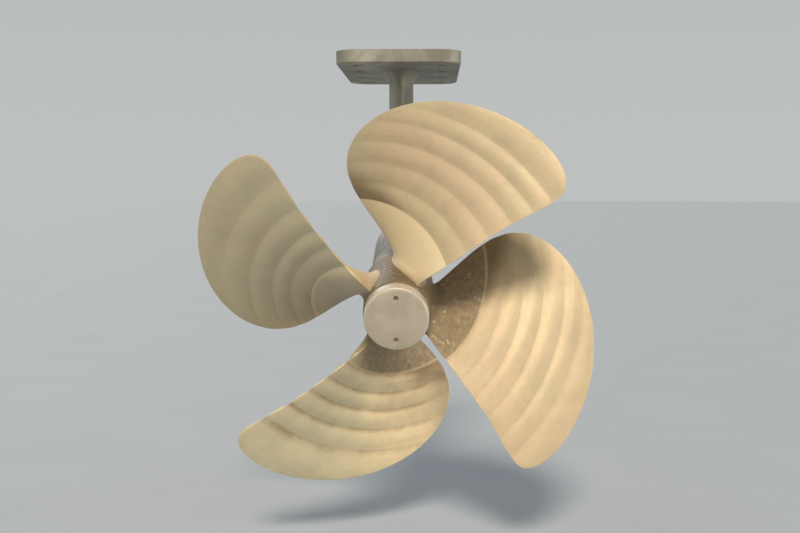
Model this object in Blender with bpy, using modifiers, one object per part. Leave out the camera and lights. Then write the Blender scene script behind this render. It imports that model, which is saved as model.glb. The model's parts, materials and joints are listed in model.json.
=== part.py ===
"""Left-hand four-blade ship propeller on its tail shaft, carried by a single-leg shaft bracket.

Units are metres and degrees. +Z is up, +Y points towards the bow and +X to starboard.
The origin is the centre of the bracket palm's top face, which bolts up under the hull.
"""

import math

import bmesh
import bpy
import numpy as np
from mathutils import Matrix

# Overall layout
PROPELLER_RADIUS = 0.400
BLADE_COUNT = 4
FIRST_BLADE_ANGLE = -15.5   # degrees, anticlockwise from starboard, seen from astern
SHAFT_SLOPE = 12.6          # degrees, the shaft rises towards the bow
SHAFT_DROP = 0.410          # palm's top face down to the shaft line, at the barrel's middle
BARREL_GAP = 0.020          # propeller hub to bracket barrel, along the shaft
BEARING_CLEARANCE = 0.0004  # radial, shaft in its water-lubricated bearing
FIT_GAP = 0.0003            # between pieces that touch

# Blade: a helix of one pitch, and what it measures at four stations of the radius
BLADE_PITCH = 1.056
STATIONS = (0.16, 0.40, 0.65, 0.90)          # shares of the propeller's radius
STATION_WIDTHS = (0.138, 0.282, 0.387, 0.334)
STATION_SWEEPS = (0.0, 4.1, 1.8, -12.3)      # degrees, towards the leading edge
ROOT_THICKNESS = 0.038
TIP_THICKNESS = 0.005
EDGE_THICKNESS = 0.0045
FACE_SHARE = 0.18           # of the thickness, on the side of the driving face
ROOT_FILLET = 0.014

# Rounded rings cast across each blade, with a sharp groove between two. A groove's radius is
# the one at the trailing edge; the blade is smooth inside its first groove.
GROOVES_1 = (0.127, 0.167, 0.209, 0.252, 0.297, 0.338)
GROOVES_2 = (0.126, 0.170, 0.217, 0.264, 0.306, 0.343)
GROOVES_3 = (0.127, 0.173, 0.212, 0.262, 0.321)
GROOVES_4 = (0.126, 0.170, 0.211, 0.257, 0.308)
RING_HEIGHTS = (0.0038, 0.0036, 0.0050, 0.0056)     # on each blade, at the trailing edge
RING_FADE = 0.65            # share of its height that a ring loses towards the leading edge
RING_LEAN = 0.100           # how much further out the first groove is at the leading edge
SMOOTH_TIP = 0.030          # from the last groove to the tip circle, at least

# Tail shaft and its key
SHAFT_RADIUS = 0.0325
SHAFT_TAPER = 1 / 12        # change of diameter over length, inside the hub
SHAFT_FORWARD = 0.350       # barrel's middle to the shaft's forward end
SHAFT_CHAMFER = 0.003
THREAD_STEP = 0.0032        # small end of the taper down to the thread
KEY_WIDTH = 0.016
KEY_HEIGHT = 0.014
KEY_LENGTH = 0.080

# Hub, nuts and cap, wall by wall from the thread outwards
HUB_FORWARD = 0.085         # blades' middle to the hub's forward face
HUB_AFT = 0.084
HUB_EDGE = 0.006
HUB_SPREAD = 0.0055         # how much larger its radius is at the forward end
HUB_AFT_WALL = 0.0135
NUT_WALL = 0.0135           # thread to the nut's flats
NUT_HEIGHT = 0.030
LOCK_NUT_HEIGHT = 0.014
NUT_POCKET_ROOM = 0.0037    # round the nut's corners
NUT_POCKET_DEPTH = 0.042
CAP_SETBACK = 0.002         # cap's radius below the hub's
CAP_WALL = 0.011
CAP_THREAD = 0.0157
CAP_EDGE = 0.004
CAP_DOME = 0.0025
SPANNER_HOLE_RADIUS = 0.0042
SPANNER_HOLE_INSET = 0.0195
SPANNER_HOLE_DEPTH = 0.006

# Bearing and barrel, wall by wall from the shaft outwards
RUBBER_WALL = 0.0053
WATER_GROOVES = 10
WATER_GROOVE_RADIUS = 0.0032
SHELL_WALL = 0.004
SHELL_OVERHANG = 0.003      # past each end of the barrel
BARREL_WALL = 0.0147
BARREL_END_WALL = 0.0082
BARREL_LENGTH = 0.260
BARREL_TAPER = 0.018
SET_SCREW_RADIUS = 0.006
SET_SCREW_RECESS = 0.0022
SET_SCREW_SPACING = 0.120

# Bracket leg and palm
LEG_CHORD = 0.200
LEG_THICKNESS = 0.056
LEG_FINENESS = 0.28         # how much of the thickness its after half loses
LEG_FLARE = 0.020           # at the palm
LEG_FLARE_HEIGHT = 0.024
PALM_LENGTH = 0.456
PALM_WIDTH = 0.234
PALM_THICKNESS = 0.025
PALM_CORNER = 0.045
PALM_EDGE = 0.004
PALM_BOLTS_PER_SIDE = 4
PALM_BOLT_END_MARGIN = 0.051
PALM_BOLT_SIDE_MARGIN = 0.037
PALM_BOLT_RADIUS = 0.008
PALM_BOLT_HEAD_RADIUS = 0.0155
PALM_BOLT_HEAD_DEPTH = 0.009
PALM_BOLT_SOCKET_WIDTH = 0.010
PALM_BOLT_SOCKET_DEPTH = 0.005

# Fineness of the model
HUB_STEPS = 60
TURNED_STEPS = 48
SMALL_STEPS = 20
LEG_COLUMNS = 20
CORNER_STEPS = 6
BLADE_COLUMNS = 12
FILLET_ROWS = (-0.7, 0.12, 0.4, 0.8)         # in fillets above the hub, the first inside it
SMOOTH_ROWS = 3
ROWS_PER_RING = 3
TIP_ROWS = 10
TIP_MARGIN = 0.3            # of a row, so that the blade ends just inside the tip circle
CUT_MARGIN = 0.010          # how far a cutter stands out of what it cuts
MERGE = 0.00005

BRONZE = ("bronze", (0.70, 0.53, 0.30), 0.42, 0.55)
CAP_METAL = ("cap_bronze", (0.58, 0.52, 0.42), 0.5, 0.4)
STEEL = ("stainless_steel", (0.60, 0.61, 0.62), 0.28, 1.0)
PAINT = ("bracket_paint", (0.60, 0.61, 0.54), 0.6, 0.0)
SLEEVE = ("bearing_brass", (0.63, 0.48, 0.22), 0.35, 1.0)
RUBBER = ("bearing_rubber", (0.02, 0.02, 0.02), 0.7, 0.0)

# Places along the shaft, measured aft from the blades' middle
shaft_slope = math.radians(SHAFT_SLOPE)
barrel_to_blades = BARREL_LENGTH / 2 + BARREL_GAP + HUB_FORWARD
pocket_floor = HUB_AFT - NUT_POCKET_DEPTH
nut_start = pocket_floor + FIT_GAP
lock_nut_start = nut_start + NUT_HEIGHT + FIT_GAP
lock_nut_end = lock_nut_start + LOCK_NUT_HEIGHT
shaft_end = lock_nut_end + CAP_THREAD
cap_floor = shaft_end + FIT_GAP
cap_face = cap_floor + CAP_WALL


def taper_radius(aft):
    return SHAFT_RADIUS - (aft + HUB_FORWARD) * SHAFT_TAPER / 2


# Radii about the shaft
thread_radius = taper_radius(pocket_floor) - THREAD_STEP
nut_corner = (thread_radius + NUT_WALL) / math.cos(math.pi / 6)
nut_pocket = nut_corner + NUT_POCKET_ROOM
hub_aft_radius = nut_pocket + HUB_AFT_WALL
hub_forward_radius = hub_aft_radius + HUB_SPREAD
cap_radius = hub_aft_radius - CAP_SETBACK
rubber_bore = SHAFT_RADIUS + BEARING_CLEARANCE
rubber_radius = rubber_bore + RUBBER_WALL
shell_bore = rubber_radius + FIT_GAP
shell_radius = shell_bore + SHELL_WALL
barrel_bore = shell_radius + FIT_GAP
barrel_radius = barrel_bore + BARREL_WALL

palm_underside = -PALM_THICKNESS


def hub_radius(aft):
    share = (aft + HUB_FORWARD) / (HUB_FORWARD + HUB_AFT)
    return hub_forward_radius + (hub_aft_radius - hub_forward_radius) * share


def clear_scene():
    for obj in list(bpy.data.objects):
        bpy.data.objects.remove(obj, do_unlink=True)


def new_collection(name, shown=True):
    collection = bpy.data.collections.new(name)
    collection.hide_render = not shown
    bpy.context.scene.collection.children.link(collection)
    return collection


def material_of(finish):
    name, colour, roughness, metallic = finish
    found = bpy.data.materials.get(name)
    if found:
        return found
    made = bpy.data.materials.new(name)
    made.use_nodes = True
    shader = made.node_tree.nodes["Principled BSDF"]
    shader.inputs["Base Color"].default_value = (*colour, 1.0)
    shader.inputs["Roughness"].default_value = roughness
    shader.inputs["Metallic"].default_value = metallic
    return made


def place_object(name, mesh, finish=None, parent=None):
    """A named object; one with no finish is a cutter or another helper."""
    obj = bpy.data.objects.new(name, mesh)
    obj.parent = parent
    if finish:
        parts.objects.link(obj)
        mesh.materials.append(material_of(finish))
    else:
        helpers.objects.link(obj)
        obj.hide_render = True
        obj.display_type = "WIRE"
    return obj


def mesh_from(name, points, edges=(), faces=()):
    mesh = bpy.data.meshes.new(name)
    mesh.from_pydata([tuple(map(float, p)) for p in points], list(edges), list(faces))
    return mesh


def block(name, size, finish=None, parent=None, corner=0.0, lower_edge=0.0):
    """A box about its own middle, with rounded corners seen from above."""
    shape = bmesh.new()
    bmesh.ops.create_cube(shape, size=1.0, matrix=Matrix.Diagonal((*size, 1.0)))
    if corner:
        upright = [e for e in shape.edges if e.verts[0].co.z * e.verts[1].co.z < 0]
        bmesh.ops.bevel(
            shape, geom=upright, offset=corner, segments=CORNER_STEPS, profile=0.5, affect="EDGES"
        )
    if lower_edge:
        rim = [e for e in shape.edges if max(v.co.z for v in e.verts) < 0]
        bmesh.ops.bevel(
            shape, geom=rim, offset=lower_edge, segments=1, profile=0.5, affect="EDGES"
        )
    mesh = bpy.data.meshes.new(name)
    shape.to_mesh(mesh)
    shape.free()
    return place_object(name, mesh, finish, parent)


def turned(name, profile, finish=None, parent=None, steps=TURNED_STEPS, closed=False):
    """Turns a profile of (radius, height) about Z; it runs down its outer side."""
    count = len(profile)
    edges = [(i, (i + 1) % count) for i in range(count if closed else count - 1)]
    points = [(radius, 0.0, height) for radius, height in profile]
    obj = place_object(name, mesh_from(name, points, edges), finish, parent)
    screw = obj.modifiers.new("turn", "SCREW")
    screw.axis = "Z"
    screw.angle = 2 * math.pi
    screw.steps = steps
    screw.render_steps = steps
    screw.use_merge_vertices = True
    screw.merge_threshold = MERGE
    screw.use_smooth_shade = steps > 6
    return obj


def drill(name, radius, top, bottom, parent=None, steps=TURNED_STEPS):
    """A plain round cutter along Z."""
    profile = [(0.0, top), (radius, top), (radius, bottom), (0.0, bottom)]
    return turned(name, profile, parent=parent, steps=steps)


def loft(name, rings, finish=None, parent=None):
    """Joins rings of as many points each by quads, and closes both ends."""
    count = len(rings[0])
    faces = [
        (
            row * count + i,
            row * count + (i + 1) % count,
            (row + 1) * count + (i + 1) % count,
            (row + 1) * count + i,
        )
        for row in range(len(rings) - 1)
        for i in range(count)
    ]
    last = (len(rings) - 1) * count
    for start, turn in ((0, 1), (last, -1)):
        for i in range(count // 2):
            across = (i, (count - i) % count, count - 1 - i, i + 1)
            corners = list(dict.fromkeys(start + corner for corner in across))
            if len(corners) > 2:
                faces.append(tuple(corners[::turn]))
    points = [point for ring in rings for point in ring]
    mesh = mesh_from(name, points, faces=faces)
    mesh.shade_smooth()
    mesh.set_sharp_from_angle(angle=math.radians(40))
    return place_object(name, mesh, finish, parent)


def combine(obj, other, operation):
    boolean = obj.modifiers.new(other.name, "BOOLEAN")
    boolean.operation = operation
    boolean.object = other


def cut(obj, cutter):
    combine(obj, cutter, "DIFFERENCE")


def join(obj, other):
    combine(obj, other, "UNION")


def shaft_line(name, forward):
    """An empty on the shaft line: X to starboard, Y up, Z pointing aft."""
    empty = bpy.data.objects.new(name, None)
    parts.objects.link(empty)
    empty.rotation_euler = (math.pi / 2 + shaft_slope, 0.0, 0.0)
    empty.location = (
        0.0,
        forward * math.cos(shaft_slope),
        forward * math.sin(shaft_slope) - SHAFT_DROP,
    )
    return empty


# Blades


def tip_closing(radius):
    """Narrows the blade to nothing at the tip circle, along a round outline."""
    return math.sqrt(max(0.0, 1 - radius / PROPELLER_RADIUS))


def through_stations(values):
    """The cubic in the radius that passes through the four stations."""
    return np.polynomial.Polynomial.fit(station_radii, values, len(station_radii) - 1)


station_radii = [share * PROPELLER_RADIUS for share in STATIONS]
blade_fullness = through_stations(
    [width / tip_closing(radius) for width, radius in zip(STATION_WIDTHS, station_radii)]
)
blade_sweep = through_stations(np.radians(STATION_SWEEPS))


def blade_thickness(radius):
    share = (radius - hub_radius(0.0)) / (PROPELLER_RADIUS - hub_radius(0.0))
    return ROOT_THICKNESS + (TIP_THICKNESS - ROOT_THICKNESS) * share


def root_flare(radius):
    """How far the root fillet stands out of the blade at this radius."""
    climb = min(1.0, max(0.0, (radius - hub_radius(0.0)) / ROOT_FILLET))
    return ROOT_FILLET * (1 - math.sqrt(1 - (1 - climb) ** 2))


def near_hub(radius):
    """One at the hub, falling to nothing a few fillets further out."""
    return min(1.0, max(0.0, 1 - (radius - hub_radius(0.0)) / (3 * ROOT_FILLET)))


def grooves_on(number):
    """Radii of the grooves on one blade, as far as its smooth tip."""
    every = (GROOVES_1, GROOVES_2, GROOVES_3, GROOVES_4)
    radii = every[number % len(every)]
    return [radius for radius in radii if radius < PROPELLER_RADIUS - SMOOTH_TIP]


def ring_relief(row, across, grooves, height):
    """Height of the rounded rings: nothing in the grooves and inside the first one."""
    share = np.interp(row, (*grooves, PROPELLER_RADIUS), range(len(grooves) + 1)) % 1.0
    return height * (1 - (2 * share - 1) ** 2) * (1 - RING_FADE * across)


def radius_on_row(row, across, first_groove):
    """Rows follow the rings: further out at the leading edge, except at hub and tip."""
    rise = (row - hub_radius(0.0)) / (first_groove - hub_radius(0.0))
    lean = RING_LEAN * across * min(1.0, max(0.0, rise))
    return (row + lean) / (1 + lean / PROPELLER_RADIUS)


def blade_rows(grooves):
    """Radii of the rows at the trailing edge: fillet, smooth root, rings and tip."""
    rows = [hub_radius(0.0) + climb * ROOT_FILLET for climb in FILLET_ROWS]
    for end in grooves:
        start = rows[-1]
        steps = ROWS_PER_RING if start >= grooves[0] else SMOOTH_ROWS
        rows += [start + (end - start) * (i + 1) / steps for i in range(steps)]
    last = rows[-1]
    for i in range(1, TIP_ROWS + 1):
        turn = math.pi / 2 * i / (TIP_ROWS + TIP_MARGIN)
        rows.append(last + (PROPELLER_RADIUS - last) * math.sin(turn))
    return rows


def blade_point(row, turn, grooves, height, angle):
    """One point of a blade: turn runs from the leading edge over the driving face and back."""
    along, rounding = math.cos(turn), abs(math.sin(turn))
    across = (1 + along) / 2
    radius = radius_on_row(row, across, grooves[0])
    flare = root_flare(radius)
    thickness = blade_thickness(radius) * rounding**2 + EDGE_THICKNESS * rounding
    relief = (ring_relief(row, across, grooves, height) + flare) * rounding
    if math.sin(turn) > 0:
        off = FACE_SHARE * thickness + relief
    else:
        off = (FACE_SHARE - 1) * thickness - relief
    chord = along * (blade_fullness(radius) * tip_closing(radius) + flare) / 2
    slope = math.atan2(BLADE_PITCH, 2 * math.pi * radius)
    sweep = blade_sweep(radius)
    around = chord * math.cos(slope) + off * math.sin(slope)
    forward = chord * math.sin(slope) - off * math.cos(slope)
    forward += sweep * BLADE_PITCH / (2 * math.pi)
    place = angle + sweep + around / radius
    out = radius + (hub_radius(-forward) - hub_radius(0.0)) * near_hub(radius)
    return (out * math.cos(place), out * math.sin(place), -forward)


def make_blade(number, parent):
    angle = math.radians(FIRST_BLADE_ANGLE) + 2 * math.pi * number / BLADE_COUNT
    grooves = grooves_on(number)
    height = RING_HEIGHTS[number % len(RING_HEIGHTS)]
    turns = [math.pi * i / BLADE_COLUMNS for i in range(2 * BLADE_COLUMNS)]
    rings = [
        [blade_point(row, turn, grooves, height, angle) for turn in turns]
        for row in blade_rows(grooves)
    ]
    return loft(f"blade_{number + 1}", rings, parent=parent)


# Propeller, with pieces placed from the blades' middle


def key_block(name, finish=None, parent=None, room=0.0):
    """The key lies on top of the shaft's taper, half in the shaft and half in the hub."""
    size = (KEY_WIDTH + 2 * room, KEY_HEIGHT + 2 * room, KEY_LENGTH + 2 * room)
    middle = (pocket_floor - HUB_FORWARD) / 2
    key = block(name, size, finish, parent)
    key.location = (0.0, taper_radius(middle), middle)
    key.rotation_euler = (math.atan(SHAFT_TAPER / 2), 0.0, 0.0)
    return key


def make_casting(parent):
    """Hub and blades are one bronze casting, bored to the shaft's taper."""
    hub = turned(
        "propeller_casting",
        [
            (nut_pocket, HUB_AFT),
            (hub_aft_radius - HUB_EDGE / 2, HUB_AFT),
            (hub_aft_radius, HUB_AFT - HUB_EDGE / 2),
            (hub_radius(0.0), 0.0),
            (hub_forward_radius, HUB_EDGE - HUB_FORWARD),
            (hub_forward_radius - 0.3 * HUB_EDGE, 0.3 * HUB_EDGE - HUB_FORWARD),
            (hub_forward_radius - HUB_EDGE, -HUB_FORWARD),
            (taper_radius(-HUB_FORWARD) + FIT_GAP, -HUB_FORWARD),
            (taper_radius(pocket_floor) + FIT_GAP, pocket_floor),
            (nut_pocket, pocket_floor),
        ],
        BRONZE,
        parent,
        steps=HUB_STEPS,
        closed=True,
    )
    cut(hub, key_block("hub_key_way", parent=parent, room=FIT_GAP))
    for number in range(BLADE_COUNT):
        join(hub, make_blade(number, parent))


def make_nut(name, start, height, parent):
    """A hexagon nut, bored to clear the shaft's thread."""
    top = start + height
    profile = [(0.0, top), (nut_corner, top), (nut_corner, start), (0.0, start)]
    nut = turned(name, profile, STEEL, parent, steps=6)
    bore = thread_radius + FIT_GAP
    cut(nut, drill(name + "_bore", bore, top + CUT_MARGIN, start - CUT_MARGIN, parent))


def make_cap(parent):
    """The closed cap over the nuts, screwed on the shaft's end by two spanner holes."""
    crown = cap_radius - CAP_EDGE
    thread_bore = thread_radius + FIT_GAP
    cap = turned(
        "boss_cap",
        [
            (0.0, cap_face + CAP_DOME),
            (0.35 * crown, cap_face + 0.88 * CAP_DOME),
            (0.7 * crown, cap_face + 0.51 * CAP_DOME),
            (crown, cap_face),
            (cap_radius - 0.3 * CAP_EDGE, cap_face - 0.3 * CAP_EDGE),
            (cap_radius, cap_face - CAP_EDGE),
            (cap_radius, HUB_AFT + FIT_GAP),
            (nut_pocket, HUB_AFT + FIT_GAP),
            (nut_pocket, lock_nut_end + FIT_GAP),
            (thread_bore, lock_nut_end + FIT_GAP),
            (thread_bore, cap_floor),
            (0.0, cap_floor),
        ],
        CAP_METAL,
        parent,
        steps=HUB_STEPS,
    )
    bottom = cap_face + CAP_DOME - SPANNER_HOLE_DEPTH
    for place, side in (("top", 1), ("bottom", -1)):
        hole = drill(
            f"spanner_hole_{place}",
            SPANNER_HOLE_RADIUS,
            cap_face + CUT_MARGIN,
            bottom,
            parent,
            SMALL_STEPS,
        )
        hole.location = (0.0, side * (cap_radius - SPANNER_HOLE_INSET), 0.0)
        cut(cap, hole)


def make_shaft(parent):
    """Plain through the bearing, tapered in the hub, threaded for the nuts and the cap."""
    forward_end = -(barrel_to_blades + SHAFT_FORWARD)
    taper_end = pocket_floor - FIT_GAP
    shaft = turned(
        "tail_shaft",
        [
            (0.0, shaft_end),
            (thread_radius - SHAFT_CHAMFER / 2, shaft_end),
            (thread_radius, shaft_end - SHAFT_CHAMFER / 2),
            (thread_radius, taper_end),
            (taper_radius(taper_end), taper_end),
            (SHAFT_RADIUS, -HUB_FORWARD),
            (SHAFT_RADIUS, forward_end + SHAFT_CHAMFER),
            (SHAFT_RADIUS - SHAFT_CHAMFER, forward_end),
            (0.0, forward_end),
        ],
        STEEL,
        parent,
    )
    cut(shaft, key_block("shaft_key_seat", parent=parent, room=FIT_GAP))


def make_propeller():
    blades_middle = shaft_line("blades_middle", -barrel_to_blades)
    make_casting(blades_middle)
    make_nut("propeller_nut", nut_start, NUT_HEIGHT, blades_middle)
    make_nut("lock_nut", lock_nut_start, LOCK_NUT_HEIGHT, blades_middle)
    make_cap(blades_middle)
    make_shaft(blades_middle)
    key_block("shaft_key", STEEL, blades_middle)


# Bearing and barrel, with pieces placed from the barrel's middle


def sleeve(name, bore, radius, length, finish, parent):
    half = length / 2
    profile = [(bore, half), (radius, half), (radius, -half), (bore, -half)]
    return turned(name, profile, finish, parent, closed=True)


def make_bearing(parent):
    """A brass shell with a rubber lining, which has water grooves along its bore."""
    length = BARREL_LENGTH + 2 * SHELL_OVERHANG
    sleeve("bearing_shell", shell_bore, shell_radius, length, SLEEVE, parent)
    rubber = sleeve("bearing_rubber", rubber_bore, rubber_radius, length, RUBBER, parent)
    reach = length / 2 + CUT_MARGIN
    for number in range(WATER_GROOVES):
        turn = 2 * math.pi * (number + 0.5) / WATER_GROOVES
        name = f"water_groove_{number + 1}"
        groove = drill(name, WATER_GROOVE_RADIUS, reach, -reach, parent, steps=8)
        groove.location = (rubber_bore * math.cos(turn), rubber_bore * math.sin(turn), 0.0)
        cut(rubber, groove)


def make_set_screw(number, aft, barrel, parent):
    """A socket screw through the barrel's starboard side, which keeps the shell in place."""
    start = shell_radius + 2 * FIT_GAP
    end = barrel_radius - SET_SCREW_RECESS
    middle = (start + end) / 2
    hole = drill(
        f"set_screw_hole_{number}",
        SET_SCREW_RADIUS + FIT_GAP,
        barrel_radius + CUT_MARGIN,
        shell_bore,
        parent,
        SMALL_STEPS,
    )
    name = f"bearing_set_screw_{number}"
    profile = [(0.0, end), (SET_SCREW_RADIUS, end), (SET_SCREW_RADIUS, start), (0.0, start)]
    screw = turned(name, profile, STEEL, parent, SMALL_STEPS)
    socket = drill(
        f"set_screw_socket_{number}", SET_SCREW_RADIUS / 2, end + CUT_MARGIN, middle, parent, 6
    )
    for piece in (hole, screw, socket):
        piece.rotation_euler = (0.0, math.pi / 2, 0.0)
        piece.location = (0.0, 0.0, aft)
    cut(barrel, hole)
    cut(screw, socket)


def make_barrel(parent):
    half = BARREL_LENGTH / 2
    barrel_end = barrel_bore + BARREL_END_WALL
    barrel = turned(
        "bracket_barrel",
        [
            (barrel_bore, half),
            (barrel_end, half),
            (barrel_radius, half - BARREL_TAPER),
            (barrel_radius, BARREL_TAPER - half),
            (barrel_end, -half),
            (barrel_bore, -half),
        ],
        PAINT,
        parent,
        steps=HUB_STEPS,
        closed=True,
    )
    make_set_screw(1, SET_SCREW_SPACING / 2, barrel, parent)
    make_set_screw(2, -SET_SCREW_SPACING / 2, barrel, parent)


# Leg and palm, which stand level


def leg_section(height, spread):
    """One level section of the leg: round in front, finer behind."""
    ring = []
    for i in range(LEG_COLUMNS):
        turn = 2 * math.pi * i / LEG_COLUMNS
        along, across = math.cos(turn), math.sin(turn)
        fullness = 1 - LEG_FINENESS * (1 - along) / 2 * abs(across)
        x = -across * fullness * (LEG_THICKNESS / 2 + spread)
        ring.append((x, along * (LEG_CHORD / 2 + spread), height))
    return ring


def make_leg(barrel_middle):
    """A streamlined leg, spread out at the palm and seated on the barrel."""
    top = palm_underside - FIT_GAP
    sections = [leg_section(-SHAFT_DROP, 0.0)]
    for share in (0.0, 0.25, 0.5, 0.75, 1.0):
        spread = LEG_FLARE * (1 - math.sqrt(1 - share**2))
        sections.append(leg_section(top - LEG_FLARE_HEIGHT * (1 - share), spread))
    leg = loft("bracket_leg", sections, PAINT)
    seat = drill(
        "barrel_seat", barrel_radius + FIT_GAP, LEG_CHORD, -LEG_CHORD, barrel_middle, HUB_STEPS
    )
    cut(leg, seat)


def bolt_places():
    row = PALM_WIDTH / 2 - PALM_BOLT_SIDE_MARGIN
    reach = PALM_LENGTH / 2 - PALM_BOLT_END_MARGIN
    pitch = 2 * reach / (PALM_BOLTS_PER_SIDE - 1)
    return [
        (side * row, i * pitch - reach) for side in (-1, 1) for i in range(PALM_BOLTS_PER_SIDE)
    ]


def make_palm():
    """The plate that bolts up under the hull, with countersunk holes from below."""
    size = (PALM_WIDTH, PALM_LENGTH, PALM_THICKNESS)
    palm = block("bracket_palm", size, PAINT, corner=PALM_CORNER, lower_edge=PALM_EDGE)
    palm.location = (0.0, 0.0, palm_underside / 2)
    hole_radius = PALM_BOLT_RADIUS + FIT_GAP
    sink_radius = PALM_BOLT_HEAD_RADIUS + FIT_GAP
    for number, (x, y) in enumerate(bolt_places(), 1):
        hole = turned(
            f"palm_bolt_hole_{number}",
            [
                (0.0, CUT_MARGIN),
                (hole_radius, CUT_MARGIN),
                (hole_radius, palm_underside + PALM_BOLT_HEAD_DEPTH),
                (sink_radius, palm_underside + FIT_GAP),
                (sink_radius, palm_underside - CUT_MARGIN),
                (0.0, palm_underside - CUT_MARGIN),
            ],
            steps=SMALL_STEPS,
        )
        hole.location = (x, y, 0.0)
        cut(palm, hole)
        make_palm_bolt(number, x, y)


def make_palm_bolt(number, x, y):
    """A countersunk socket bolt; it stops level with the palm's top face."""
    head = palm_underside + 2 * FIT_GAP
    shoulder = palm_underside + PALM_BOLT_HEAD_DEPTH + FIT_GAP
    head_radius = PALM_BOLT_HEAD_RADIUS - FIT_GAP
    bolt = turned(
        f"palm_bolt_{number}",
        [
            (0.0, -FIT_GAP),
            (PALM_BOLT_RADIUS, -FIT_GAP),
            (PALM_BOLT_RADIUS, shoulder),
            (head_radius, head + FIT_GAP),
            (head_radius, head),
            (0.0, head),
        ],
        STEEL,
        steps=SMALL_STEPS,
    )
    socket = drill(
        f"palm_bolt_socket_{number}",
        PALM_BOLT_SOCKET_WIDTH / math.sqrt(3),
        head + PALM_BOLT_SOCKET_DEPTH,
        head - CUT_MARGIN,
        steps=6,
    )
    bolt.location = (x, y, 0.0)
    socket.location = bolt.location
    cut(bolt, socket)


def make_bracket():
    barrel_middle = shaft_line("barrel_middle", 0.0)
    make_palm()
    make_leg(barrel_middle)
    make_barrel(barrel_middle)
    make_bearing(barrel_middle)


clear_scene()
parts = new_collection("ship_propeller")
helpers = new_collection("cutters", shown=False)
make_bracket()
make_propeller()
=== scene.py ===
"""Looks of a four-blade ship propeller on its tail shaft and shaft bracket.

Units are metres. +Z is up, +Y points towards the bow and +X to starboard.
Pieces on the shaft line are made about their own Z axis, which points aft.
"""

import json
import math

import bmesh
import bpy
import numpy as np
from bpy.props import FloatProperty, FloatVectorProperty, IntProperty, PointerProperty
from bpy.types import Operator, Panel, PropertyGroup
from mathutils import Matrix, Vector


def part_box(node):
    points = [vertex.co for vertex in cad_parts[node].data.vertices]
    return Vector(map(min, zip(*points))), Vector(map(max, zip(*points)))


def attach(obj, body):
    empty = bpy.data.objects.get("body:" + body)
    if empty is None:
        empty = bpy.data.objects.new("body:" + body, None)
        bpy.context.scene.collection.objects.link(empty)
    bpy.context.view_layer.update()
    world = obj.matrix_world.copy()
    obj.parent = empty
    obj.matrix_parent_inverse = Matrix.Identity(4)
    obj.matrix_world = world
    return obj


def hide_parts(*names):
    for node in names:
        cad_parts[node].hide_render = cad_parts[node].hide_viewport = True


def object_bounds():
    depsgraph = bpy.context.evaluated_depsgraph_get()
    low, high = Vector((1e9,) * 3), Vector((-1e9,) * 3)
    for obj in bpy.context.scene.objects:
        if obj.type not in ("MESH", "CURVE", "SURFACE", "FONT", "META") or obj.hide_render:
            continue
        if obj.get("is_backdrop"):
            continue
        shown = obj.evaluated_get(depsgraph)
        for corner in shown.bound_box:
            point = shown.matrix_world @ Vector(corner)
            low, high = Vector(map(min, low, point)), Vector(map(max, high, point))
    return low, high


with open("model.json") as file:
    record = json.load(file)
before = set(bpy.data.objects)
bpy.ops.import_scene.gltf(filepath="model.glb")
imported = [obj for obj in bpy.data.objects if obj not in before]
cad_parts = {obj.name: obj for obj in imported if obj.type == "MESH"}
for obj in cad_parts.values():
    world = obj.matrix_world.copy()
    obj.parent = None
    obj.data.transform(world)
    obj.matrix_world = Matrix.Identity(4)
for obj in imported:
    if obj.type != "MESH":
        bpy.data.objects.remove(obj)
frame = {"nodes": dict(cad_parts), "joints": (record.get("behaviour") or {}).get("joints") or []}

bl_info = {
    "name": "Ship Propeller",
    "version": (1, 0, 0),
    "blender": (4, 5, 0),
    "location": "3D View > Sidebar > Propeller",
    "description": "Makes a four-blade propeller with its shaft, bearing and bracket",
    "category": "Object",
}

JOINT = frame["joints"][0]
SHAFT_MIDDLE = Vector(JOINT["pos_m"])
AFT = Vector(JOINT["axis"])
SLOPE = math.atan2(-AFT.z, -AFT.y)
FIT = 0.0003  # gap between pieces that touch
EMBED = 0.0008  # how far the leg's head reaches into the palm
EDGE = 0.0008  # rounding of the bolts' heads and of the shell
CHAMFER = 0.001  # of the hub's and the barrel's bores and the screw holes
OVERSHOOT = 0.01  # how far a cutter stands out of what it cuts
DRILL_POINT = 0.002  # length of a drilled hole's cone
HUB_MAP = (0.5, -2.0)  # the map's numbers on the hub, which no blade has
SHARP = math.radians(32)  # least angle of an edge that stays sharp
ROUND_STEPS = 144  # sides of a large turned piece
SMALL_STEPS = 40  # sides of a bolt, a screw or a hole
RUBBER_STEPS = 480
LEG_STEPS = 112
LEG_ROOT = 0.15  # the leg's reach into the barrel, as a share of its fillet
BOLTS = range(1, 9)
SCREWS = (1, 2)
BOLT_TURN = 17  # degrees from one bolt's socket to the next
SCREW_TURN = 0.4  # radians from one screw's socket to the next


def number(name, description, default, **more):
    """A property of one number, or of as many as a tuple gives."""
    kind = FloatProperty
    if isinstance(default, tuple):
        kind, more["size"] = FloatVectorProperty, len(default)
    return kind(name=name, description=description, default=default, **more)


def length(name, description, default):
    return number(name, description, default, unit="LENGTH", precision=4)


def grooves(blade, *radii):
    return length(f"Grooves of blade {blade}", "Their radii at the trailing edge", radii)


def angle(name, description, degrees):
    return number(name, description, math.radians(degrees), unit="ROTATION")


def factor(name, description, default):
    return number(name, description, default, min=0.0, max=1.0, subtype="FACTOR")


def colour(name, description, default):
    return number(name, description, default, min=0, max=1, subtype="COLOR")


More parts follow.
